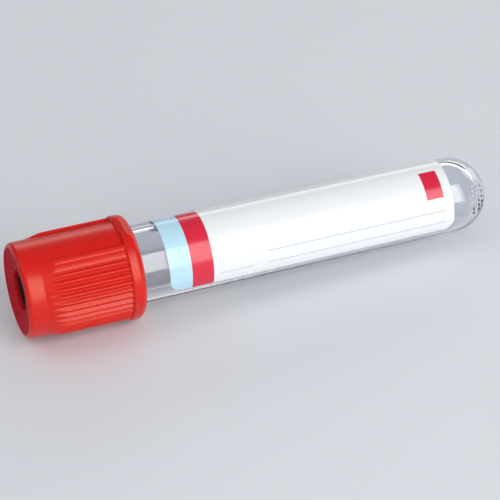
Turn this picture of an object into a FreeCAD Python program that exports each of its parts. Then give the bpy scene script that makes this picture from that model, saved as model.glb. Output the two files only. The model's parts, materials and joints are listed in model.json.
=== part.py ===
import FreeCAD, Part
import math
import os

# Blood collection tube, 13 x 75 mm, with a plastic safety closure.
# Millimetres. The tube lies on its side, +Z up, closure towards -X, round end towards +X.
# Every piece is first drawn along the X axis: x is the distance from the closure's end face,
# and angles run about +X from the top (+Z) towards the front (-Y).
# At the end the whole assembly is tilted until it rests on the closure's flange and the round end.

# ---- driving dimensions ----
overall_length = 82.0
tube_length = 75.0
tube_end_radius = 6.3        # outer radius where the round end begins
tube_rim_radius = 6.5        # outer radius at the open end
tube_wall = 1.0
tube_tip_wall = 1.2
bore_radius = 5.5            # straight seat of the stopper's plug
bore_seat_length = 7.5
rim_round = 0.3
mouth_chamfer = 0.35
gate_radius = 1.1            # dished moulding mark in the middle of the round end
gate_depth = 0.25
gate_nub_radius = 0.45

cap_length = 19.8
head_length = 3.1            # smooth head of the shield
ramp_length = 2.9            # slope from the head up to the ribs
head_radius = 7.95
face_round = 0.7
crest_radius = 8.52
root_radius = 8.08
crest_round = 0.2
root_round = 0.08
flute_pitch = 8.2            # degrees
flutes_per_pad = 14
pad_count = 2
pad_side_angle = 3.0         # degrees taken by the pad's sloping side wall
flange_start = 17.15
flange_top_start = 17.5
flange_top_end = 18.5
flange_radius = 8.7
flange_lip_radius = 7.4
flange_ridge = 18.35         # over each smooth panel a flat ramp rises to a ridge, then a bevel falls
flange_ridge_height = 8.4    # distance from the axis to the ridge
flange_ramp_foot = 8.05
flange_bevel_drop = 0.9      # how much closer to the axis the bevel is at the open end
skirt_bore_radius = 6.95
lip_round = 0.15

dish_radius = 6.9            # the end face is slightly hollow
dish_depth = 0.6
port_radius = 3.35           # needle port
port_edge = 0.15
top_wall_end = 1.22
stopper_pocket_radius = 6.75
bead_start = 5.05            # ring that snaps behind the stopper's head
bead_end = 5.85
bead_radius = 6.35
bead_slope = 0.35
pocket_end = 6.9

stopper_head_radius = 6.65
stopper_head_end = 4.95
stopper_groove_radius = 6.15
stopper_flange_start = 5.95
stopper_flange_radius = 6.45
plug_clearance = 0.03        # drawn slip between plug and bore, where the rubber would be squeezed
plug_length = 6.6
plug_round = 0.7
well_radius = 3.0
well_floor_radius = 2.3
well_depth = 2.2
well_dome = 0.6
underside_radius = 3.3
underside_top_radius = 2.6
underside_depth = 5.2
underside_slope = 0.8

label_start = 24.2
label_end = 74.3
label_thickness = 0.09
label_lower_edge = 114.5     # degrees from the top towards the front
label_wrap = 180.0
label_corner = 2.2

# ---- values that follow ----
tube_rim = overall_length - tube_length
dome_centre = overall_length - tube_end_radius
pad_half_angle = flutes_per_pad * flute_pitch / 2
bore_end_radius = tube_end_radius - tube_wall
bore_dome_centre = overall_length - tube_tip_wall - bore_end_radius
plug_radius = bore_radius - plug_clearance
spill = 1.0                  # how far a cutting shape reaches past what it cuts

vector = FreeCAD.Vector
axis_x = vector(1, 0, 0)
axis_y = vector(0, 1, 0)
axis_z = vector(0, 0, 1)
origin = vector(0, 0, 0)


def tangent_slope(run, height, radius):
    """Slope, in radians, of the line from a point down to touch a circle that is run away."""
    return math.atan2(height, run) - math.asin(radius / math.hypot(run, height))


# the skin runs from the rim to touch the round end
taper = tangent_slope(dome_centre - tube_rim - rim_round, tube_rim_radius, tube_end_radius)
# and the floor touches the flange's ridge and the round end together
ridge_run = dome_centre - flange_ridge
rest_tilt = math.degrees(tangent_slope(ridge_run, flange_ridge_height, tube_end_radius))


def at(x, radius):
    """Point of a lathe profile: x along the tube, radius straight up."""
    return vector(x, 0, radius)


def round_point(radius, angle, x=0.0):
    """Point at a radius and an angle about the tube's axis."""
    turn = math.radians(angle)
    return vector(x, -radius * math.sin(turn), radius * math.cos(turn))


def tube_skin(x):
    """Outer radius of the slightly tapered tube."""
    return tube_rim_radius - (x - tube_rim - rim_round) * math.tan(taper)


def lathe(edges, sweep=360.0):
    """Turn a closed outline about the tube's axis."""
    return Part.Face(Part.Wire(edges)).revolve(origin, axis_x, sweep)


def chain(points):
    """Straight edges through a list of points."""
    return [Part.makeLine(a, b) for a, b in zip(points, points[1:])]


def arc(start, middle, end):
    return Part.Arc(start, middle, end).toShape()


def cap_arc(x_edge, edge_radius, x_pole):
    """Arc of a sphere centred on the axis, from its edge to its pole."""
    sag = x_pole - x_edge
    sphere_radius = (edge_radius ** 2 + sag ** 2) / (2 * sag)
    middle_radius = edge_radius / 2
    lift = math.sqrt(sphere_radius ** 2 - middle_radius ** 2)
    x_centre = x_pole - sphere_radius
    return arc(at(x_edge, edge_radius), at(x_centre + lift, middle_radius), at(x_pole, 0))


def turned(points):
    return lathe(chain(points + points[:1]))


def cross_tangent(bump, bump_radius, hollow, hollow_radius, side):
    """Line that runs off a convex round and into a concave one beside it."""
    across = hollow - bump
    swing = math.acos((bump_radius + hollow_radius) / across.Length)
    direction = vector(across).normalize()
    normal = FreeCAD.Rotation(axis_x, math.degrees(side * swing)).multVec(direction)
    return bump + normal * bump_radius, hollow - normal * hollow_radius


def pad_edges(centre_angle):
    """Scalloped outline of one ribbed pad, from one smooth panel to the next."""
    first = centre_angle - pad_half_angle
    last = centre_angle + pad_half_angle
    crests = [first + rib * flute_pitch for rib in range(flutes_per_pad + 1)]
    roots = [angle + flute_pitch / 2 for angle in crests[:-1]]
    hollows = [(round_point(head_radius, first - pad_side_angle), 0.0)]
    hollows += [(round_point(root_radius + root_round, angle), root_round) for angle in roots]
    hollows += [(round_point(head_radius, last + pad_side_angle), 0.0)]
    edges = []
    for rib, angle in enumerate(crests):
        crest = round_point(crest_radius - crest_round, angle)
        rise_top, rise_foot = cross_tangent(crest, crest_round, *hollows[rib], 1)
        fall_top, fall_foot = cross_tangent(crest, crest_round, *hollows[rib + 1], -1)
        if rib:
            edges.append(arc(root_start, round_point(root_radius, roots[rib - 1]), rise_foot))
        edges.append(Part.makeLine(rise_foot, rise_top))
        edges.append(arc(rise_top, round_point(crest_radius, angle), fall_top))
        edges.append(Part.makeLine(fall_top, fall_foot))
        root_start = fall_foot
    return edges


def skirt_outline():
    """Two ribbed pads joined by two smooth panels that carry on the head's round."""
    edges = []
    spacing = 360.0 / pad_count
    foot_angle = pad_half_angle + pad_side_angle
    for pad in range(pad_count):
        centre = spacing * (pad + 0.5)
        edges += pad_edges(centre)
        panel_start = round_point(head_radius, centre + foot_angle)
        panel_middle = round_point(head_radius, centre + spacing / 2)
        panel_end = round_point(head_radius, centre + spacing - foot_angle)
        edges.append(arc(panel_start, panel_middle, panel_end))
    return Part.Wire(edges)


def make_shield():
    # smooth head with a rounded edge round its end face
    corner = face_round * (1 - math.sqrt(0.5))
    edge_start = at(0, head_radius - face_round)
    edge_end = at(face_round, head_radius)
    edge = arc(edge_start, at(corner, head_radius - corner), edge_end)
    rest = chain([edge_end, at(head_length, head_radius), at(head_length, 0), origin, edge_start])
    head = lathe([edge] + rest)

    # ribbed skirt: the scalloped prism, trimmed by the ramp that rises from the head
    skirt_end = flange_top_start
    skirt_length = skirt_end - head_length
    prism = Part.Face(skirt_outline()).extrude(axis_x * skirt_length)
    prism.translate(axis_x * head_length)
    slope = (crest_radius - head_radius) / ramp_length
    ramp_reach = 2 * ramp_length
    ramp_top = head_radius + slope * ramp_reach
    envelope = turned([at(head_length, 0), at(head_length, head_radius),
                       at(head_length + ramp_reach, ramp_top), at(skirt_end + spill, ramp_top),
                       at(skirt_end + spill, 0)])
    skirt = prism.common(envelope)

    # flange round the open end, with its outer edge rolled over to a thin lip
    drop = flange_radius - flange_lip_radius
    run = cap_length - flange_top_end
    roll_start = at(flange_top_end, flange_radius)
    roll_middle = at(flange_top_end + run * math.sqrt(0.5), flange_lip_radius + drop * math.sqrt(0.5))
    roll_end = at(cap_length, flange_lip_radius)
    inner = skirt_bore_radius - spill
    flange = lathe([arc(roll_start, roll_middle, roll_end)]
                   + chain([roll_end, at(cap_length, inner), at(flange_start, inner),
                            at(flange_start, head_radius), at(flange_top_start, flange_radius),
                            roll_start]))

    # a flat ramp and a bevel on the flange over each smooth panel keep the tube from rolling
    bevel_run = cap_length - flange_ridge
    cutter_start = flange_start - spill
    cutter_end = cap_length + bevel_run
    cutter_top = flange_radius + spill
    for panel in range(pad_count):
        profile = chain([at(cutter_start, flange_ramp_foot), at(flange_start, flange_ramp_foot),
                         at(flange_ridge, flange_ridge_height),
                         at(cutter_end, flange_ridge_height - 2 * flange_bevel_drop),
                         at(cutter_end, cutter_top), at(cutter_start, cutter_top),
                         at(cutter_start, flange_ramp_foot)])
        cutter = Part.Face(Part.Wire(profile)).extrude(axis_y * 2 * flange_radius)
        cutter.translate(axis_y * -flange_radius)
        cutter.rotate(origin, axis_x, 360.0 / pad_count * panel)
        flange = flange.cut(cutter)

    # inside: needle port, stopper pocket, retaining bead and the open skirt
    bead_foot = bead_start - bead_slope
    flare = skirt_bore_radius + lip_round
    cavity = turned([at(-spill, 0), at(-spill, dish_radius), at(0, dish_radius),
                     at(dish_depth, port_radius + port_edge),
                     at(dish_depth + port_edge, port_radius), at(top_wall_end, port_radius),
                     at(top_wall_end, stopper_pocket_radius), at(bead_foot, stopper_pocket_radius),
                     at(bead_start, bead_radius), at(bead_end, bead_radius),
                     at(bead_end + bead_slope, stopper_pocket_radius), at(pocket_end, stopper_pocket_radius),
                     at(pocket_end + bead_slope, skirt_bore_radius),
                     at(cap_length - lip_round, skirt_bore_radius), at(cap_length, flare),
                     at(cap_length + spill, flare), at(cap_length + spill, 0)])
    return head.fuse([skirt, flange]).removeSplitter().cut(cavity)


def make_stopper():
    plug_end = tube_rim + plug_length
    blank = turned([at(top_wall_end, 0), at(top_wall_end, stopper_head_radius),
                    at(stopper_head_end - bead_slope, stopper_head_radius),
                    at(stopper_head_end, stopper_groove_radius),
                    at(stopper_flange_start, stopper_groove_radius),
                    at(stopper_flange_start + bead_slope, stopper_flange_radius),
                    at(tube_rim, stopper_flange_radius), at(tube_rim, plug_radius),
                    at(plug_end - plug_round, plug_radius), at(plug_end, plug_radius - plug_round / 2),
                    at(plug_end, 0)])
    # domed well that guides the needle, and the hollow underside of the plug
    well_floor = top_wall_end + well_depth
    well_turn = well_floor - well_dome
    well_mouth = top_wall_end - spill
    well = lathe([cap_arc(well_turn, well_floor_radius, well_floor)]
                 + chain([at(well_floor, 0), at(well_mouth, 0), at(well_mouth, well_radius),
                          at(top_wall_end, well_radius), at(well_turn, well_floor_radius)]))
    hollow_top = plug_end - underside_depth
    hollow = turned([at(plug_end + spill, 0), at(plug_end + spill, underside_radius),
                     at(plug_end, underside_radius), at(hollow_top + underside_slope, underside_top_radius),
                     at(hollow_top, underside_top_radius / 2), at(hollow_top, 0)])
    return blank.cut(well).cut(hollow)


def make_tube():
    # outer skin: rounded rim, slight draft, hemispherical end
    draft_end = at(dome_centre + tube_end_radius * math.sin(taper), tube_end_radius * math.cos(taper))
    half = math.sqrt(0.5)
    dome_middle = at(dome_centre + tube_end_radius * half, tube_end_radius * half)
    rim_corner = rim_round * (1 - half)
    rim_start = at(tube_rim, tube_rim_radius - rim_round)
    rim_end = at(tube_rim + rim_round, tube_rim_radius)
    outside = lathe([arc(rim_start, at(tube_rim + rim_corner, tube_rim_radius - rim_corner), rim_end),
                     Part.makeLine(rim_end, draft_end),
                     arc(draft_end, dome_middle, at(overall_length, 0))]
                    + chain([at(overall_length, 0), at(tube_rim, 0), rim_start]))

    # bore: chamfered mouth, straight seat for the plug, slight draft, round end
    seat_end = tube_rim + bore_seat_length
    mouth = tube_rim - spill
    mouth_radius = bore_radius + mouth_chamfer
    bore_dome_start = at(bore_dome_centre, bore_end_radius)
    bore_dome_middle = at(bore_dome_centre + bore_end_radius * half, bore_end_radius * half)
    bore_tip = at(bore_dome_centre + bore_end_radius, 0)
    bore = lathe(chain([at(mouth, 0), at(mouth, mouth_radius), at(tube_rim, mouth_radius),
                        at(tube_rim + mouth_chamfer, bore_radius), at(seat_end, bore_radius),
                        bore_dome_start])
                 + [arc(bore_dome_start, bore_dome_middle, bore_tip)]
                 + [Part.makeLine(bore_tip, at(mouth, 0))])

    # moulding mark: a small dished ring with a nub at its centre
    ring_floor = overall_length - gate_depth
    ring_mouth = overall_length + spill
    ring = turned([at(ring_floor, gate_nub_radius), at(ring_floor, gate_radius - gate_depth),
                   at(ring_mouth, gate_radius + spill), at(ring_mouth, gate_nub_radius)])
    return outside.cut(bore).cut(ring)


def make_label():
    # a film wrapped half way round, leaving the rest clear to see the contents
    film_start = at(label_start, tube_skin(label_start))
    film_end = at(label_end, tube_skin(label_end))
    lift = axis_z * label_thickness
    strip = chain([film_start, film_start + lift, film_end + lift, film_end, film_start])
    first_edge = label_lower_edge - label_wrap
    film = lathe(strip, label_wrap)
    film.rotate(origin, axis_x, first_edge)

    # rounded corners
    corner_turn = math.degrees(label_corner / tube_rim_radius)
    floor = tube_end_radius - spill
    height = 2 * spill
    for end, inward in ((label_start, 1), (label_end, -1)):
        for edge, turn in ((first_edge, 1), (label_lower_edge, -1)):
            centre_x = end + inward * label_corner
            disc = Part.makeCylinder(label_corner, height, at(centre_x, floor), axis_z)
            block = Part.makeBox(label_corner, label_corner, height)
            block.translate(vector(min(end, centre_x), min(0, turn * label_corner), floor))
            corner = block.cut(disc)
            corner.rotate(origin, axis_x, edge + turn * corner_turn)
            film = film.cut(corner)
    return film


def rest_on_floor(shapes):
    """Tilt the drawn assembly to its rest and put the frame at the middle of its floor."""
    tilt = FreeCAD.Rotation(axis_y, rest_tilt)
    centre = tilt.multVec(at(dome_centre, 0))
    placed = {}
    for name, shape in shapes.items():
        solid = shape.copy()
        solid.rotate(origin, axis_y, rest_tilt)
        solid.translate(axis_z * (tube_end_radius - centre.z))
        placed[name] = solid
    box = Part.makeCompound(list(placed.values())).optimalBoundingBox(False)
    for solid in placed.values():
        solid.translate(axis_x * (-(box.XMin + box.XMax) / 2))
    return placed


def single(shape):
    """The one solid that a piece is made of."""
    (solid,) = shape.Solids
    return solid


parts = rest_on_floor({
    "shield": single(make_shield()),
    "stopper": single(make_stopper()),
    "tube": single(make_tube()),
    "label": single(make_label()),
})

os.makedirs("parts", exist_ok=True)
for name, solid in parts.items():
    solid.exportStep(os.path.join("parts", name + ".step"))
    print(name, "valid" if solid.isValid() else "NOT VALID", "volume %.1f mm3" % solid.Volume)
print("resting tilt %.3f degrees" % rest_tilt)
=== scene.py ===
import math

import bmesh
import bpy
from mathutils import Matrix, Quaternion, Vector
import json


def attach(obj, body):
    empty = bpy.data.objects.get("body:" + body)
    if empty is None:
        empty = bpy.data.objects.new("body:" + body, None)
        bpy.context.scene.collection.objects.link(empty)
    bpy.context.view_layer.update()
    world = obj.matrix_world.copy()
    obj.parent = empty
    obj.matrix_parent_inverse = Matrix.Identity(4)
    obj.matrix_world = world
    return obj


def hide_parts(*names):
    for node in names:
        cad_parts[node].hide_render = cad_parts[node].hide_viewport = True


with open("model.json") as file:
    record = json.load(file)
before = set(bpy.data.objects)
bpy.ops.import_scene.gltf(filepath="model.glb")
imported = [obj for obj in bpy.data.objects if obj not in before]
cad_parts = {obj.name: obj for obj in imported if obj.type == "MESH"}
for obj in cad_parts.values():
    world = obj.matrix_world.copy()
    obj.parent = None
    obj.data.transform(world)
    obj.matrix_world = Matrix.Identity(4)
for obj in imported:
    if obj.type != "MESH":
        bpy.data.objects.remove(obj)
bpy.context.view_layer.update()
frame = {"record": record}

# pieces are drawn in millimetres along the tube's own axis, which is read from the needle port:
# x runs from the closure's end face towards the round end, angle 0 is the top and 90 the front
mm = 0.001
port = [mount for mount in frame["record"]["mounts"] if mount["name"] == "needle_port"][0]
portInset = 0.985 * mm  # the port's point lies this far inside the end face
alongTube = -Vector(port["axis"]).normalized()
acrossTube = Vector((0, 1, 0))
upTube = alongTube.cross(acrossTube)
endFace = Vector(port["pos_m"]) - alongTube * portInset
tubeAxes = Matrix((alongTube, acrossTube, upTube)).transposed().to_4x4()
place = Matrix.Translation(endFace) @ tubeAxes @ Matrix.Scale(mm, 4)


def wheel(radius, angle, x=0.0):  # a point at a radius and an angle round the tube
    turn = math.radians(angle)
    return Vector((x, -radius * math.sin(turn), radius * math.cos(turn)))


mostOfSide = 0.48  # the share of a side that a corner's rounding may take
poleRadius = 1e-6  # a ring smaller than this is a single point


def softened(corners, steps=5):  # an outline from corners (x, radius, rounding)
    outline = []
    for index, (x, radius, rounding) in enumerate(corners):
        corner = Vector((x, radius))
        if rounding == 0 or index in (0, len(corners) - 1):
            outline.append(corner)
            continue
        before = Vector(corners[index - 1][:2]) - corner
        after = Vector(corners[index + 1][:2]) - corner
        half = before.angle(after) / 2
        back = min(rounding / math.tan(half), before.length * mostOfSide, after.length * mostOfSide)
        start = corner + before.normalized() * back
        end = corner + after.normalized() * back
        for step in range(steps + 1):
            t = step / steps
            outline.append(start * (1 - t) ** 2 + corner * 2 * t * (1 - t) + end * t ** 2)
    return outline


def ballArc(centre, radius, fromAngle, toAngle, steps):  # part of a round end's outline
    angles = [math.radians(fromAngle + (toAngle - fromAngle) * step / steps) for step in range(steps + 1)]
    return [Vector((centre + radius * math.cos(angle), radius * math.sin(angle))) for angle in angles]


def turnedMesh(name, outline, around):  # an outline turned about the axis, with poles closed
    shape = bmesh.new()
    rings = []
    for x, radius in outline:
        turns = around if radius > poleRadius else 1
        rings.append([shape.verts.new(wheel(radius, 360 * turn / around, x)) for turn in range(turns)])
    for low, high in zip(rings, rings[1:]):
        for turn in range(around):
            ahead = (turn + 1) % around
            corners = [low[turn % len(low)], low[ahead % len(low)],
                       high[ahead % len(high)], high[turn % len(high)]]
            corners = list(dict.fromkeys(corners))
            if len(corners) > 2:
                shape.faces.new(corners).smooth = True
    bmesh.ops.recalc_face_normals(shape, faces=shape.faces)
    mesh = bpy.data.meshes.new(name)
    shape.to_mesh(mesh)
    shape.free()
    return mesh


def settle(name, mesh, materials, body, node):  # a finished piece, in its place and on its body
    mesh.transform(place)
    mesh.update()
    mesh.materials.clear()
    for material in materials:
        mesh.materials.append(material)
    piece = bpy.data.objects.new(name, mesh)
    bpy.context.scene.collection.objects.link(piece)
    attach(piece, body)
    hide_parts(node)
    return piece


def calc(tree, operation, *values):  # one Math node; values are sockets or plain numbers
    node = tree.nodes.new("ShaderNodeMath")
    node.operation = operation
    for socket, value in zip(node.inputs, values):
        if isinstance(value, bpy.types.NodeSocket):
            tree.links.new(value, socket)
        else:
            socket.default_value = value
    return node.outputs[0]


def newMaterial(name):
    material = bpy.data.materials.new(name)
    material.use_nodes = True
    tree = material.node_tree
    return material, tree, tree.nodes["Principled BSDF"]


def grain(tree, scale, detail=2.0, stretch=(1, 1, 1)):  # noise on object coordinates
    coordinates = tree.nodes.new("ShaderNodeTexCoord")
    mapping = tree.nodes.new("ShaderNodeMapping")
    mapping.inputs["Scale"].default_value = stretch
    noise = tree.nodes.new("ShaderNodeTexNoise")
    noise.inputs["Scale"].default_value = scale
    noise.inputs["Detail"].default_value = detail
    tree.links.new(coordinates.outputs["Object"], mapping.inputs["Vector"])
    tree.links.new(mapping.outputs["Vector"], noise.inputs["Vector"])
    return noise.outputs["Fac"]


def tubeValues(tree):  # millimetres from the closure's end face and from the tube's axis
    coordinates = tree.nodes.new("ShaderNodeTexCoord")
    fromFace = tree.nodes.new("ShaderNodeVectorMath")
    fromFace.operation = "SUBTRACT"
    fromFace.inputs[1].default_value = endFace
    tree.links.new(coordinates.outputs["Object"], fromFace.inputs[0])
    values = []
    for operation, given in (("DOT_PRODUCT", fromFace), ("CROSS_PRODUCT", fromFace), ("LENGTH", None)):
        node = tree.nodes.new("ShaderNodeVectorMath")
        node.operation = operation
        node.inputs[1].default_value = alongTube / mm
        tree.links.new((given or values[-1]).outputs[0], node.inputs[0])
        values.append(node)
    return values[0].outputs["Value"], values[2].outputs["Value"]


def ranged(tree, value, fromLow, fromHigh, toLow, toHigh):
    node = tree.nodes.new("ShaderNodeMapRange")
    limits = {"From Min": fromLow, "From Max": fromHigh, "To Min": toLow, "To Max": toHigh}
    for label, number in limits.items():
        node.inputs[label].default_value = number
    tree.links.new(value, node.inputs["Value"])
    return node.outputs["Result"]


def mixed(tree, share, first, second):  # two colours; each is a socket or (r, g, b)
    node = tree.nodes.new("ShaderNodeMix")
    node.data_type = "RGBA"
    tree.links.new(share, node.inputs[0])
    for socket, colour in ((node.inputs[6], first), (node.inputs[7], second)):
        if isinstance(colour, bpy.types.NodeSocket):
            tree.links.new(colour, socket)
        else:
            socket.default_value = (*colour, 1)
    return node.outputs[2]


def bumped(tree, shader, height, strength, distance):
    bump = tree.nodes.new("ShaderNodeBump")
    bump.inputs["Strength"].default_value = strength
    bump.inputs["Distance"].default_value = distance
    tree.links.new(height, bump.inputs["Height"])
    tree.links.new(bump.outputs["Normal"], shader.inputs["Normal"])


# shield: the red cap, its ribs made by a node tree from the outline of a plain cap
shieldSizes = {
    "faceCorners": [(1.1, 3.35, 0), (0.6, 3.35, 0.18), (0, 6.9, 0.5), (0, 7.1, 0)],  # port and end face
    "faceRound": 0.7,
    "headStations": (1.1, 1.6, 2.1, 2.6),
    "rampStep": 0.12,
    "rampSteps": 34,
    "skirtStations": (7.4, 8.5, 10, 12, 14, 16, 16.8),
    "flangeCorners": [(17.0, 7.95, 0), (17.15, 7.95, 0.1), (17.5, 8.7, 0.14), (17.8, 8.7, 0)],
    "flangeRadius": 8.7,
    "flangeStations": (18.0, 18.15, 18.25, 18.3, 18.35, 18.4),
    "rollStart": 18.5,
    "rollRadius": 1.3,
    "insideCorners": [(19.8, 7.25, 0), (19.8, 7.0, 0.12), (19.5, 6.95, 0.1), (7.25, 6.95, 0.1),
                      (6.9, 6.75, 0.1), (6.2, 6.75, 0.1), (5.85, 6.35, 0.1), (5.05, 6.35, 0.1),
                      (4.7, 6.75, 0.1), (1.22, 6.75, 0.1), (1.22, 3.35, 0.05), (1.15, 3.35, 0)],
    # inputs of the node tree
    "ribs": {
        "headRadius": 7.95,
        "rampStart": 3.1,
        "rampSlope": 0.197,
        "rampSoftness": 0.06,
        "crestRadius": 8.52,
        "crestRound": 0.2,
        "rootRadius": 8.08,
        "rootRound": 0.08,
        "footSoftness": 0.04,
        "flutePitch": 8.2,
        "ribEnd": 17.7,
        "ridgeAt": 18.35,
        "ridgeHeight": 8.4,
        "rampFoot": 8.05,
        "ridgeRise": 0.292,
        "bevelFall": 0.62,
        "flatSoftness": 0.05,
        "leastSlant": 0.3,
        "flutes": 14,
        "stepsPerFlute": 16,
        "stepsPerPanel": 48,
        "fluteCrowding": 0.05,
        "panelCrowding": 0.12,
    },
    # the pads' outermost ribs: degrees in from the pad's nominal edge and the radius there
    "padEdge": [(-3.6, 7.95), (-3.2, 8.42), (-2.6, 8.49), (1.3, 8.45), (3.0, 8.395), (4.0, 8.39),
                (6.0, 8.4), (8.2, 8.395), (10.2, 8.38), (11.4, 8.355), (12.1, 8.24), (12.9, 8.14)],
    "weldWithin": 0.0005,
    "bodyReds": ((0.61, 0.007, 0.005), (0.69, 0.011, 0.008)),
    # the end face: a darker, more crimson red that is painted shade, with lighter pink specks that are
    # painted glints
    "faceShadeAndGlintReds": ((0.48, 0.004, 0.014), (0.66, 0.042, 0.07)),
    "faceEdge": (7.15, 7.4),  # the end face's painted shade and painted glints, and its grain, end between these radii
    "faceDepth": (0.62, 0.72),
    "sheen": (1.0, 0.87, 0.66, 1),
}


def plainCapOutline():  # a closed loop: port, end face, outside, lip, inside; with 1 where ribs may rise
    size = shieldSizes
    headRadius, faceRound = size["ribs"]["headRadius"], size["faceRound"]
    flangeRadius, rollRadius = size["flangeRadius"], size["rollRadius"]
    face = softened(size["faceCorners"])
    edge = [Vector((faceRound - faceRound * math.cos(turn),
                    headRadius - faceRound + faceRound * math.sin(turn)))
            for turn in map(math.radians, range(0, 91, 9))]
    ramp = [size["headStations"][-1] + size["rampStep"] * step for step in range(1, size["rampSteps"] + 1)]
    skirt = [Vector((x, headRadius)) for x in (*size["headStations"], *ramp, *size["skirtStations"])]
    flange = softened(size["flangeCorners"])
    flange += [Vector((x, flangeRadius)) for x in size["flangeStations"]]
    roll = [Vector((size["rollStart"] + rollRadius * math.sin(turn),
                    flangeRadius - rollRadius + rollRadius * math.cos(turn)))
            for turn in map(math.radians, range(0, 91, 6))]
    inside = softened(size["insideCorners"], steps=3)
    ribbed = edge + skirt + flange + roll
    return face + ribbed + inside, [0] * len(face) + [1] * len(ribbed) + [0] * len(inside)


def fluteFlank():
    # the straight flank from a crest's round into a root's: its normal's angle, its distance
    # from the tube's axis, and the angles from the crest at which it begins and ends
    size = shieldSizes["ribs"]
    crest = Vector((0, size["crestRadius"] - size["crestRound"]))
    turn = math.radians(size["flutePitch"] / 2)
    root = Vector((math.sin(turn), math.cos(turn))) * (size["rootRadius"] + size["rootRound"])
    across = root - crest
    swing = math.acos((size["crestRound"] + size["rootRound"]) / across.length)
    normalAngle = math.atan2(across.x, across.y) - swing
    normal = Vector((math.sin(normalAngle), math.cos(normalAngle)))
    start = crest + normal * size["crestRound"]
    end = root - normal * size["rootRound"]
    return normalAngle, normal.dot(start), math.atan2(start.x, start.y), math.atan2(end.x, end.y)


def padEdgeCurve(tree, inward):  # the radius of a pad's outermost ribs
    padEdge = shieldSizes["padEdge"]
    first, last = padEdge[0][0], padEdge[-1][0]
    low, high = min(radius for spot, radius in padEdge), max(radius for spot, radius in padEdge)
    node = tree.nodes.new("ShaderNodeFloatCurve")
    points = node.mapping.curves[0].points
    while len(points) < len(padEdge):
        points.new(0.5, 0.5)
    for point, (spot, radius) in zip(points, padEdge):
        point.location = ((spot - first) / (last - first), (radius - low) / (high - low))
        point.handle_type = "VECTOR"
    node.mapping.update()
    share = calc(tree, "DIVIDE", calc(tree, "SUBTRACT", inward, first), last - first)
    tree.links.new(share, node.inputs["Value"])
    return calc(tree, "MULTIPLY_ADD", node.outputs[0], high - low, low)


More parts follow.
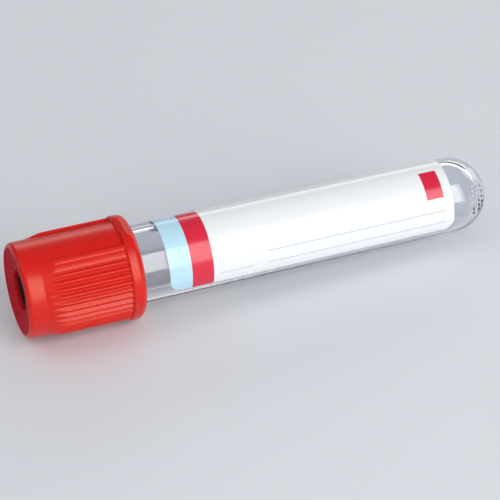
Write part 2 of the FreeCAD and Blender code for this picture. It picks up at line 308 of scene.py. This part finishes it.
def ribTree(material):
    tree = bpy.data.node_groups.new("ribbedShield", "GeometryNodeTree")
    tree.is_modifier = True
    tree.interface.new_socket("Geometry", in_out="INPUT", socket_type="NodeSocketGeometry")
    for label, value in shieldSizes["ribs"].items():
        kind = "NodeSocketInt" if isinstance(value, int) else "NodeSocketFloat"
        tree.interface.new_socket(label, in_out="INPUT", socket_type=kind).default_value = value
    tree.interface.new_socket("Geometry", in_out="OUTPUT", socket_type="NodeSocketGeometry")
    given = tree.nodes.new("NodeGroupInput").outputs
    link = tree.links.new

    # a grid with one row for each point of the outline and one column for each step round
    count = tree.nodes.new("GeometryNodeAttributeDomainSize")
    link(given["Geometry"], count.inputs["Geometry"])
    padSteps = calc(tree, "MULTIPLY", given["flutes"], given["stepsPerFlute"])
    halfSteps = calc(tree, "ADD", padSteps, given["stepsPerPanel"])
    columns = calc(tree, "MULTIPLY_ADD", halfSteps, 2, 1)
    grid = tree.nodes.new("GeometryNodeMeshGrid")
    link(calc(tree, "ADD", count.outputs["Point Count"], 1), grid.inputs["Vertices X"])
    link(columns, grid.inputs["Vertices Y"])
    index = tree.nodes.new("GeometryNodeInputIndex").outputs[0]
    row = calc(tree, "FLOOR", calc(tree, "DIVIDE", calc(tree, "ADD", index, 0.5), columns))
    column = calc(tree, "SUBTRACT", index, calc(tree, "MULTIPLY", row, columns))
    point = calc(tree, "FLOORED_MODULO", row, count.outputs["Point Count"])

    def outlineValue(kind, value, socket):
        sample = tree.nodes.new("GeometryNodeSampleIndex")
        sample.data_type = kind
        link(given["Geometry"], sample.inputs["Geometry"])
        link(value, sample.inputs["Value"])
        link(point, sample.inputs["Index"])
        return sample.outputs[socket]

    position = tree.nodes.new("GeometryNodeInputPosition").outputs[0]
    ribbed = tree.nodes.new("GeometryNodeInputNamedAttribute")
    ribbed.data_type = "FLOAT"
    ribbed.inputs["Name"].default_value = "ribbed"
    apart = tree.nodes.new("ShaderNodeSeparateXYZ")
    link(outlineValue("FLOAT_VECTOR", position, 0), apart.inputs[0])
    x, plain = apart.outputs[0], apart.outputs[2]
    mayRise = outlineValue("FLOAT", ribbed.outputs[0], 0)

    def crowded(share, waves, strength):
        wave = calc(tree, "SINE", calc(tree, "MULTIPLY", share, waves))
        return calc(tree, "SUBTRACT", share, calc(tree, "MULTIPLY", wave, strength))

    # steps crowd together at crests, roots and the pads' sides
    half = calc(tree, "FLOOR", calc(tree, "DIVIDE", calc(tree, "ADD", column, 0.5), halfSteps))
    step = calc(tree, "SUBTRACT", column, calc(tree, "MULTIPLY", half, halfSteps))
    flute = calc(tree, "MINIMUM", calc(tree, "DIVIDE", step, given["stepsPerFlute"]), given["flutes"])
    flute = crowded(flute, 4 * math.pi, given["fluteCrowding"])
    panel = calc(tree, "DIVIDE", calc(tree, "SUBTRACT", step, padSteps), given["stepsPerPanel"])
    panel = crowded(calc(tree, "MAXIMUM", panel, 0), 2 * math.pi, given["panelCrowding"])
    padAngle = calc(tree, "MULTIPLY", given["flutes"], given["flutePitch"])
    panelAngle = calc(tree, "SUBTRACT", 180, padAngle)
    fromPad = calc(tree, "ADD", calc(tree, "MULTIPLY", flute, given["flutePitch"]),
                   calc(tree, "MULTIPLY", panel, panelAngle))
    halfPad = calc(tree, "MULTIPLY", padAngle, 0.5)
    angle = calc(tree, "ADD", calc(tree, "SUBTRACT", 90, halfPad),
                 calc(tree, "MULTIPLY_ADD", half, 180, fromPad))
    turn = calc(tree, "RADIANS", angle)

    # how high the ribs stand at this angle: round crests, straight flanks, round roots
    offCentre = calc(tree, "ABSOLUTE", calc(tree, "SUBTRACT", fromPad, halfPad))
    toNextPad = calc(tree, "SUBTRACT", calc(tree, "ADD", halfPad, 180), fromPad)
    offCentre = calc(tree, "MINIMUM", offCentre, toNextPad)
    pitches = calc(tree, "DIVIDE", calc(tree, "ADD", halfPad, offCentre), given["flutePitch"])
    phase = calc(tree, "FRACT", pitches)
    fromRoot = calc(tree, "ABSOLUTE", calc(tree, "SUBTRACT", phase, 0.5))
    fromCrest = calc(tree, "MULTIPLY", calc(tree, "SUBTRACT", 0.5, fromRoot), given["flutePitch"])
    crestTurn = calc(tree, "RADIANS", fromCrest)
    rootTurn = calc(tree, "RADIANS", calc(tree, "MULTIPLY", fromRoot, given["flutePitch"]))
    inward = calc(tree, "SUBTRACT", halfPad, offCentre)

    def roundAt(turnFrom, centreRadius, radius, side):  # a small circle met from the tube's axis
        reach = calc(tree, "MULTIPLY", centreRadius, calc(tree, "SINE", turnFrom))
        inner = calc(tree, "SUBTRACT", calc(tree, "POWER", radius, 2), calc(tree, "POWER", reach, 2))
        rise = calc(tree, "SQRT", calc(tree, "MAXIMUM", inner, 0))
        ahead = calc(tree, "MULTIPLY", centreRadius, calc(tree, "COSINE", turnFrom))
        return calc(tree, "MULTIPLY_ADD", rise, side, ahead)

    def choose(test, whenLess, whenMore):
        return calc(tree, "MULTIPLY_ADD", test, calc(tree, "SUBTRACT", whenLess, whenMore), whenMore)

    normalAngle, flankDistance, flankStart, flankEnd = fluteFlank()
    crestCentre = calc(tree, "SUBTRACT", given["crestRadius"], given["crestRound"])
    rootCentre = calc(tree, "ADD", given["rootRadius"], given["rootRound"])
    root = roundAt(rootTurn, rootCentre, given["rootRound"], -1)
    slope = calc(tree, "COSINE", calc(tree, "SUBTRACT", crestTurn, normalAngle))
    straight = calc(tree, "DIVIDE", flankDistance, slope)
    ribs = choose(calc(tree, "LESS_THAN", crestTurn, flankEnd), straight, root)
    ribs = choose(calc(tree, "LESS_THAN", crestTurn, flankStart),
                  roundAt(crestTurn, crestCentre, given["crestRound"], 1), ribs)
    ribs = choose(calc(tree, "LESS_THAN", inward, shieldSizes["padEdge"][-1][0]),
                  padEdgeCurve(tree, inward), ribs)

    # the ramp cuts them at the head, the flange ends them, and the flats trim the flange
    ramp = calc(tree, "MULTIPLY_ADD", calc(tree, "SUBTRACT", x, given["rampStart"]), given["rampSlope"],
                given["headRadius"])
    ribs = calc(tree, "SMOOTH_MIN", ribs, ramp, given["rampSoftness"])
    ribs = calc(tree, "MULTIPLY", ribs, calc(tree, "LESS_THAN", x, given["ribEnd"]))
    radius = calc(tree, "SMOOTH_MAX", ribs, plain, given["footSoftness"])
    rising = calc(tree, "MULTIPLY_ADD", calc(tree, "SUBTRACT", x, given["ridgeAt"]), given["ridgeRise"],
                  given["ridgeHeight"])
    falling = calc(tree, "MULTIPLY_ADD", calc(tree, "SUBTRACT", given["ridgeAt"], x), given["bevelFall"],
                   given["ridgeHeight"])
    flat = calc(tree, "MINIMUM", calc(tree, "MAXIMUM", rising, given["rampFoot"]), falling)
    slant = calc(tree, "MAXIMUM", calc(tree, "ABSOLUTE", calc(tree, "COSINE", turn)), given["leastSlant"])
    radius = calc(tree, "SMOOTH_MIN", radius, calc(tree, "DIVIDE", flat, slant), given["flatSoftness"])
    radius = calc(tree, "MULTIPLY_ADD", calc(tree, "SUBTRACT", radius, plain), mayRise, plain)

    spot = tree.nodes.new("ShaderNodeCombineXYZ")
    link(x, spot.inputs[0])
    link(calc(tree, "MULTIPLY", calc(tree, "MULTIPLY", radius, -1), calc(tree, "SINE", turn)), spot.inputs[1])
    link(calc(tree, "MULTIPLY", radius, calc(tree, "COSINE", turn)), spot.inputs[2])
    moved = tree.nodes.new("GeometryNodeSetPosition")
    link(grid.outputs["Mesh"], moved.inputs["Geometry"])
    link(spot.outputs[0], moved.inputs["Position"])
    joined = tree.nodes.new("GeometryNodeMergeByDistance")
    joined.inputs["Distance"].default_value = shieldSizes["weldWithin"]
    smooth = tree.nodes.new("GeometryNodeSetShadeSmooth")
    real = tree.nodes.new("GeometryNodeRealizeInstances")
    coloured = tree.nodes.new("GeometryNodeSetMaterial")
    coloured.inputs["Material"].default_value = material
    result = tree.nodes.new("NodeGroupOutput")
    stages = (moved, joined, smooth, real, coloured, result)
    for first, second in zip(stages, stages[1:]):
        link(first.outputs[0], second.inputs[0])
    return tree


def ribbedShield(material):
    outline, ribbed = plainCapOutline()
    mesh = bpy.data.meshes.new("capOutline")
    mesh.from_pydata([(x, 0, radius) for x, radius in outline], [], [])
    mesh.attributes.new("ribbed", "FLOAT", "POINT").data.foreach_set("value", ribbed)
    holder = bpy.data.objects.new("capOutline", mesh)
    bpy.context.scene.collection.objects.link(holder)
    tree = ribTree(material)
    modifier = holder.modifiers.new("ribs", "NODES")
    modifier.node_group = tree
    for socket in tree.interface.items_tree:
        if socket.in_out == "INPUT" and socket.name in shieldSizes["ribs"]:
            modifier[socket.identifier] = shieldSizes["ribs"][socket.name]
    shape = bpy.data.meshes.new_from_object(holder.evaluated_get(bpy.context.evaluated_depsgraph_get()))
    holder.modifiers.clear()
    bpy.data.objects.remove(holder)
    shape.name = "shieldShape"
    return shape


def redPlastic():
    material, tree, shader = newMaterial("redPlastic")
    size = shieldSizes
    body = mixed(tree, grain(tree, 220, 3), *size["bodyReds"])
    along, offAxis = tubeValues(tree)
    onFace = calc(tree, "MULTIPLY", ranged(tree, offAxis, *size["faceEdge"], 1, 0),
                  ranged(tree, along, *size["faceDepth"], 1, 0))
    # painted shade: the end face is a darker crimson red; its lighter pink specks from this grain are painted
    # glints, and the same grain makes the face's bumps
    gritAndGlints = grain(tree, 2600, 2)
    paintedGlints = ranged(tree, gritAndGlints, 0.52, 0.66, 0, 1)
    tree.links.new(mixed(tree, onFace, body, mixed(tree, paintedGlints, *size["faceShadeAndGlintReds"])),
                   shader.inputs["Base Color"])
    rough = ranged(tree, grain(tree, 900, 4), 0.3, 0.7, 0.285, 0.345)
    tree.links.new(calc(tree, "MULTIPLY_ADD", onFace, 0.25, rough), shader.inputs["Roughness"])
    tree.links.new(ranged(tree, onFace, 0, 1, 0.5, 0.03), shader.inputs["Specular IOR Level"])
    shader.inputs["Specular Tint"].default_value = size["sheen"]
    shader.inputs["IOR"].default_value = 1.49
    relief = calc(tree, "MULTIPLY", gritAndGlints, calc(tree, "MULTIPLY_ADD", onFace, 5.0, 1.0))
    bumped(tree, shader, relief, 0.15, 0.03 * mm)
    return material


shieldMaterial = redPlastic()
shield = settle("shield_cap", ribbedShield(shieldMaterial), [shieldMaterial], "closure_body", "shield")
print("shield made:", len(shield.data.polygons), "faces")

# stopper: the dark rubber plug held in the cap
stopperSizes = {
    "outline": [(3.42, 0, 0), (2.82, 2.3, 0.3), (1.22, 3.0, 0.2), (1.22, 6.65, 0.2), (4.6, 6.65, 0.15),
                (4.95, 6.15, 0.15), (5.95, 6.15, 0.15), (6.3, 6.45, 0.12), (7.0, 6.45, 0.08),
                (7.0, 5.47, 0.05), (12.9, 5.47, 0.5), (13.6, 5.12, 0.3), (13.6, 3.3, 0.15),
                (9.2, 2.6, 0.4), (8.4, 1.3, 0.4), (8.4, 0, 0)],
    "roundSteps": 4,
    "around": 96,
    "colours": ((0.016, 0.005, 0.007), (0.026, 0.008, 0.011)),
}


def darkRubber():
    material, tree, shader = newMaterial("darkRubber")
    tree.links.new(mixed(tree, grain(tree, 500, 3), *stopperSizes["colours"]), shader.inputs["Base Color"])
    tree.links.new(ranged(tree, grain(tree, 1500, 3), 0.3, 0.7, 0.5, 0.65), shader.inputs["Roughness"])
    shader.inputs["Specular IOR Level"].default_value = 0.2
    bumped(tree, shader, grain(tree, 2500, 4), 0.3, 0.04 * mm)
    return material


stopperOutline = softened(stopperSizes["outline"], stopperSizes["roundSteps"])
stopper = settle("rubber_stopper", turnedMesh("stopperShape", stopperOutline, stopperSizes["around"]),
                 [darkRubber()], "closure_body", "stopper")
print("stopper made:", len(stopper.data.polygons), "faces")

# tube: clear moulded plastic with a rounded rim, a slight taper and a round end
tubeSizes = {
    "around": 240,
    "rim": 7.0,
    "rimRadius": 6.5,
    "rimRound": 0.3,
    "mouthCorners": [(7.0, 5.85, 0.06), (7.35, 5.5, 0.15), (14.5, 5.5, 0.8)],
    "endCentre": 75.7,
    "endRadius": 6.3,
    "boreEndCentre": 75.5,
    "boreEndRadius": 5.3,
    "markRadius": 1.1,
    "markCorners": [(0.03, 0, 0), (0.04, 0.42, 0.1), (0.25, 0.55, 0.1), (0.25, 0.85, 0.12), (0.11, 1.06, 0)],
    "pipRows": (4.5, 5.15, 5.8),
    "pipFrom": 50.0,
    "pipTo": 97.0,
    "pipGap": 0.85,
    "pipSize": 0.36,
    "pipHeight": 0.2,
    "colour": (0.92, 0.93, 0.965, 1),
    "shadeColour": (0.93, 0.94, 0.95, 1),
    "reflections": 3.5,  # past these a ray caught in the wall goes straight on
}


def tubeSkin(x):  # outer radius along the taper
    share = (x - tubeSizes["rim"]) / (tubeSizes["endCentre"] - tubeSizes["rim"])
    return tubeSizes["rimRadius"] + (tubeSizes["endRadius"] - tubeSizes["rimRadius"]) * share


def tubeOutline():
    size = tubeSizes
    tip = size["endCentre"] + size["endRadius"]
    markAngle = math.degrees(math.asin(size["markRadius"] / size["endRadius"]))
    mark = softened([(tip - depth, radius, rounding) for depth, radius, rounding in size["markCorners"]],
                    steps=3)
    arcs = ((markAngle, 37, 14), (37.8, 72, 45), (74, 89.8, 8))  # the middle one is fine, for the pips
    dome = [spot for arc in arcs for spot in ballArc(size["endCentre"], size["endRadius"], *arc)]
    wall = softened([(size["endCentre"], size["endRadius"], 0),
                     (size["rim"], size["rimRadius"], size["rimRound"]), *size["mouthCorners"],
                     (size["boreEndCentre"], size["boreEndRadius"], 0)])[1:-1]
    bore = ballArc(size["boreEndCentre"], size["boreEndRadius"], 90, 0, 26)
    bore[-1].y = 0
    return mark + dome + wall + bore


def clearPlastic():
    material, tree, shader = newMaterial("clearPlastic")
    shader.inputs["Base Color"].default_value = tubeSizes["colour"]
    shader.inputs["Roughness"].default_value = 0.03
    shader.inputs["IOR"].default_value = 1.57
    shader.inputs["Transmission Weight"].default_value = 1
    bumped(tree, shader, grain(tree, 260, 2, (0.25, 1, 1)), 0.08, 0.05 * mm)
    through = tree.nodes.new("ShaderNodeBsdfTransparent")
    through.inputs["Color"].default_value = tubeSizes["shadeColour"]
    choice = tree.nodes.new("ShaderNodeMixShader")
    path = tree.nodes.new("ShaderNodeLightPath")
    clear = calc(tree, "MAXIMUM", path.outputs["Is Shadow Ray"], path.outputs["Is Diffuse Ray"])
    trapped = calc(tree, "GREATER_THAN", path.outputs["Glossy Depth"], tubeSizes["reflections"])
    clear = calc(tree, "MAXIMUM", clear, trapped)
    tree.links.new(clear, choice.inputs[0])
    tree.links.new(shader.outputs[0], choice.inputs[1])
    tree.links.new(through.outputs[0], choice.inputs[2])
    tree.links.new(choice.outputs[0], tree.nodes["Material Output"].inputs["Surface"])
    return material


def raisePips(mesh):  # short rows of small moulded bumps beside the tip
    size = tubeSizes
    centre = Vector((size["endCentre"], 0, 0))
    pips = []
    for ring in size["pipRows"]:
        span = math.radians(size["pipTo"] - size["pipFrom"])
        count = round(span * ring / size["pipGap"])
        for pip in range(count + 1):
            angle = size["pipFrom"] + (size["pipTo"] - size["pipFrom"]) * pip / count
            pips.append(centre + wheel(ring, angle, math.sqrt(size["endRadius"] ** 2 - ring ** 2)))
    for vert in mesh.vertices:  # only those of the round end's skin
        if vert.co.x < centre.x + 2 or (vert.co - centre).length < size["endRadius"] - 0.1:
            continue
        near = 1 - min((vert.co - pip).length for pip in pips) / size["pipSize"]
        if near > 0:
            vert.co += (vert.co - centre).normalized() * size["pipHeight"] * near * near * (3 - 2 * near)


tubeShape = turnedMesh("tubeShape", tubeOutline(), tubeSizes["around"])
raisePips(tubeShape)
tube = settle("clear_tube", tubeShape, [clearPlastic()], "tube_body", "tube")
print("tube made:", len(tube.data.polygons), "faces")

# label: a printed film wrapped half way round
cyan, crimson, lineGrey = (0.50, 0.75, 0.88), (0.70, 0.022, 0.056), (0.50, 0.56, 0.66)
labelSizes = {
    "start": 24.2,
    "end": 74.3,
    "lowerEdge": 114.5,
    "wrap": 180.0,
    "corner": 2.2,
    "thickness": 0.09,
    "sunk": 0.01,
    "meanRadius": 6.45,
    "spans": 14,
    "columns": 120,
    "white": ((0.84, 0.85, 0.86), (0.86, 0.87, 0.88)),
    "backWhite": ((0.80, 0.81, 0.80), (0.86, 0.86, 0.85)),
    # print: along and up in millimetres from the label's lower corner by the cap
    "prints": [
        {"along": (0.0, 3.8), "up": (-1, 99), "colour": cyan},
        {"along": (3.8, 7.5), "up": (-1, 99), "colour": crimson},
        {"along": (45.6, 48.6), "up": (6.5, 11.7), "colour": crimson},
        {"along": (8.6, 14.4), "up": (1.9, 2.05), "colour": lineGrey},
        {"along": (17.0, 48.6), "up": (1.9, 2.05), "colour": lineGrey},
        {"along": (17.0, 48.6), "up": (4.1, 4.25), "colour": lineGrey},
    ],
    "printSoftness": 0.04,
}
labelLength = labelSizes["end"] - labelSizes["start"]
labelWidth = math.radians(labelSizes["wrap"]) * labelSizes["meanRadius"]


def labelMesh():
    size = labelSizes
    corner, columns, spans = size["corner"], size["columns"], size["spans"]
    near = [corner * (1 - math.cos(math.radians(turn))) for turn in range(0, 91, 9)]
    middle = [corner + (labelLength - 2 * corner) * step / spans for step in range(1, spans)]
    stations = near + middle + [labelLength - d for d in reversed(near)]
    shape = bmesh.new()
    printMap = shape.loops.layers.uv.new("print")
    spread = {}

    def sheetOf(lift):
        rows = []
        for station in stations:
            fromEnd = min(station, labelLength - station, corner)
            inset = corner - math.sqrt(max(corner ** 2 - (corner - fromEnd) ** 2, 0))
            trim = math.degrees(inset / size["meanRadius"])
            row = []
            for column in range(columns + 1):
                down = trim + (size["wrap"] - 2 * trim) * column / columns
                x = size["start"] + station
                vert = shape.verts.new(wheel(tubeSkin(x) - size["sunk"] + lift, size["lowerEdge"] - down, x))
                spread[vert] = (station / labelLength, down / size["wrap"])
                row.append(vert)
            rows.append(row)
        return rows

    def face(corners, slot):
        made = shape.faces.new(corners)
        made.smooth = True
        made.material_index = slot
        for loop in made.loops:
            loop[printMap].uv = spread[loop.vert]

    outer, inner = sheetOf(size["thickness"]), sheetOf(0)
    last = len(stations) - 1
    for row in range(last):
        for column in range(columns):
            a, b = (row, column), (row, column + 1)
            c, d = (row + 1, column + 1), (row + 1, column)
            face([outer[r][k] for r, k in (a, b, c, d)], 0)
            face([inner[r][k] for r, k in (d, c, b, a)], 1)
    border = [(0, k) for k in range(columns)] + [(r, columns) for r in range(last)]
    border += [(last, k) for k in range(columns, 0, -1)] + [(r, 0) for r in range(last, 0, -1)]
    for (r, k), (s, m) in zip(border, border[1:] + border[:1]):
        face([outer[s][m], outer[r][k], inner[r][k], inner[s][m]], 1)
    for edge in shape.edges:
        edge.smooth = len({f.material_index for f in edge.link_faces}) == 1
    mesh = bpy.data.meshes.new("labelShape")
    shape.to_mesh(mesh)
    shape.free()
    return mesh


def labelFilm():
    material, tree, shader = newMaterial("labelFilm")
    sheetMap = tree.nodes.new("ShaderNodeUVMap")
    sheetMap.uv_map = "print"
    apart = tree.nodes.new("ShaderNodeSeparateXYZ")
    tree.links.new(sheetMap.outputs[0], apart.inputs[0])
    along = calc(tree, "MULTIPLY", apart.outputs[0], labelLength)
    up = calc(tree, "MULTIPLY", apart.outputs[1], labelWidth)

    def inside(value, low, high):
        soft = labelSizes["printSoftness"]
        rising = ranged(tree, value, low - soft, low + soft, 0, 1)
        falling = ranged(tree, value, high - soft, high + soft, 1, 0)
        return calc(tree, "MULTIPLY", rising, falling)

    colour = mixed(tree, grain(tree, 150, 3), *labelSizes["white"])
    for field in labelSizes["prints"]:
        share = calc(tree, "MULTIPLY", inside(along, *field["along"]), inside(up, *field["up"]))
        colour = mixed(tree, share, colour, field["colour"])
    tree.links.new(colour, shader.inputs["Base Color"])
    tree.links.new(ranged(tree, grain(tree, 600, 3), 0.3, 0.7, 0.16, 0.24), shader.inputs["Roughness"])
    shader.inputs["IOR"].default_value = 1.52
    bumped(tree, shader, grain(tree, 700, 3), 0.1, 0.02 * mm)
    return material


def labelBack():
    material, tree, shader = newMaterial("labelBack")
    tree.links.new(mixed(tree, grain(tree, 300, 3), *labelSizes["backWhite"]), shader.inputs["Base Color"])
    shader.inputs["Roughness"].default_value = 0.6
    return material


label = settle("wrap_label", labelMesh(), [labelFilm(), labelBack()], "tube_body", "label")
print("label made:", len(label.data.polygons), "faces")

# floor, light and camera
stageSizes = {
    "floorHalf": 2.5,
    "floorColour": (0.74, 0.76, 0.785),
    "floorByLamp": (0.50, 0.515, 0.53),  # towards the front lamp, which would otherwise bleach the floor
    "lampSide": (-0.08, -0.3),
    "worldColour": (0.86, 0.90, 0.96),
    "worldGlow": 0.42,
    "worldMirrored": 0.08,
    "dimAbove": 0.5,
}
lamps = [
    {"name": "frontBox", "towards": (0.30, -0.84, 0.50), "distance": 0.7, "width": 0.42, "height": 0.7,
     "power": 4.0},
    {"name": "leftBox", "towards": (-0.63, -0.69, 0.36), "distance": 0.7, "width": 0.12, "height": 0.3,
     "power": 0.4},
    {"name": "backBox", "towards": (0, 0.92, 0.39), "distance": 0.7, "shift": 0.42, "width": 0.84,
     "height": 0.2, "power": 1.2},
    {"name": "rightBox", "towards": (0.88, 0.42, 0.22), "distance": 0.7, "width": 0.3, "height": 0.3,
     "power": 0.5},
    {"name": "topBox", "towards": (-0.5, 0.1, 0.86), "distance": 0.9, "width": 0.5, "height": 0.5,
     "power": 0.8},
]
cameraSizes = {
    "standsAt": (-0.112705, -0.356474, 0.265835),
    "looksAt": (-0.001088, -0.001017, 0.006141),
    "roll": -4.264,
    "lens": 197.35,
}


def addFloor():
    half = stageSizes["floorHalf"]
    mesh = bpy.data.meshes.new("floor")
    corners = [(-half, -half, 0), (half, -half, 0), (half, half, 0), (-half, half, 0)]
    mesh.from_pydata(corners, [], [(0, 1, 2, 3)])
    floor = bpy.data.objects.new("floor", mesh)
    bpy.context.scene.collection.objects.link(floor)
    material, tree, shader = newMaterial("paleFloor")
    spot = tree.nodes.new("ShaderNodeTexCoord")
    apart = tree.nodes.new("ShaderNodeSeparateXYZ")
    tree.links.new(spot.outputs["Object"], apart.inputs[0])
    share = ranged(tree, apart.outputs[1], *stageSizes["lampSide"], 0, 1)
    tree.links.new(mixed(tree, share, stageSizes["floorColour"], stageSizes["floorByLamp"]),
                   shader.inputs["Base Color"])
    shader.inputs["Roughness"].default_value = 0.7
    shader.inputs["Specular IOR Level"].default_value = 0.2
    mesh.materials.append(material)


def addWorld():  # a room that glows at the horizon, and is dim overhead and in mirrored rays
    world = bpy.data.worlds.new("softRoom")
    world.use_nodes = True
    tree = world.node_tree
    backdrop = tree.nodes["Background"]
    backdrop.inputs["Color"].default_value = (*stageSizes["worldColour"], 1)
    path = tree.nodes.new("ShaderNodeLightPath")
    direction = tree.nodes.new("ShaderNodeTexCoord")
    apart = tree.nodes.new("ShaderNodeSeparateXYZ")
    tree.links.new(direction.outputs["Generated"], apart.inputs[0])
    high = ranged(tree, apart.outputs[2], 0, stageSizes["dimAbove"], 0, 1)
    high = calc(tree, "MULTIPLY", high, path.outputs["Is Transmission Ray"])
    mirrored = calc(tree, "MAXIMUM", path.outputs["Is Glossy Ray"], high)
    tree.links.new(ranged(tree, mirrored, 0, 1, stageSizes["worldGlow"], stageSizes["worldMirrored"]),
                   backdrop.inputs["Strength"])
    bpy.context.scene.world = world


def addLamp(lamp):
    data = bpy.data.lights.new(lamp["name"], "AREA")
    data.shape = "RECTANGLE"
    data.size = lamp["width"]
    data.size_y = lamp["height"]
    data.energy = lamp["power"]
    towards = Vector(lamp["towards"]).normalized()
    thing = bpy.data.objects.new(lamp["name"], data)
    thing.location = towards * lamp["distance"] + Vector((lamp.get("shift", 0), 0, 0))
    thing.rotation_euler = towards.to_track_quat("Z", "Y").to_euler()
    bpy.context.scene.collection.objects.link(thing)


def addCamera():
    size = cameraSizes
    data = bpy.data.cameras.new("camera")
    data.lens = size["lens"]
    data.sensor_width = 36
    data.clip_start = 0.01
    camera = bpy.data.objects.new("camera", data)
    stands = Vector(size["standsAt"])
    towards = Vector(size["looksAt"]) - stands
    turned = towards.to_track_quat("-Z", "Y") @ Quaternion((0, 0, 1), math.radians(size["roll"]))
    camera.location = stands
    camera.rotation_euler = turned.to_euler()
    bpy.context.scene.collection.objects.link(camera)
    bpy.context.scene.camera = camera


addFloor()
addWorld()
for lamp in lamps:
    addLamp(lamp)
addCamera()
bpy.context.scene.view_settings.view_transform = "Standard"
print("stage set")
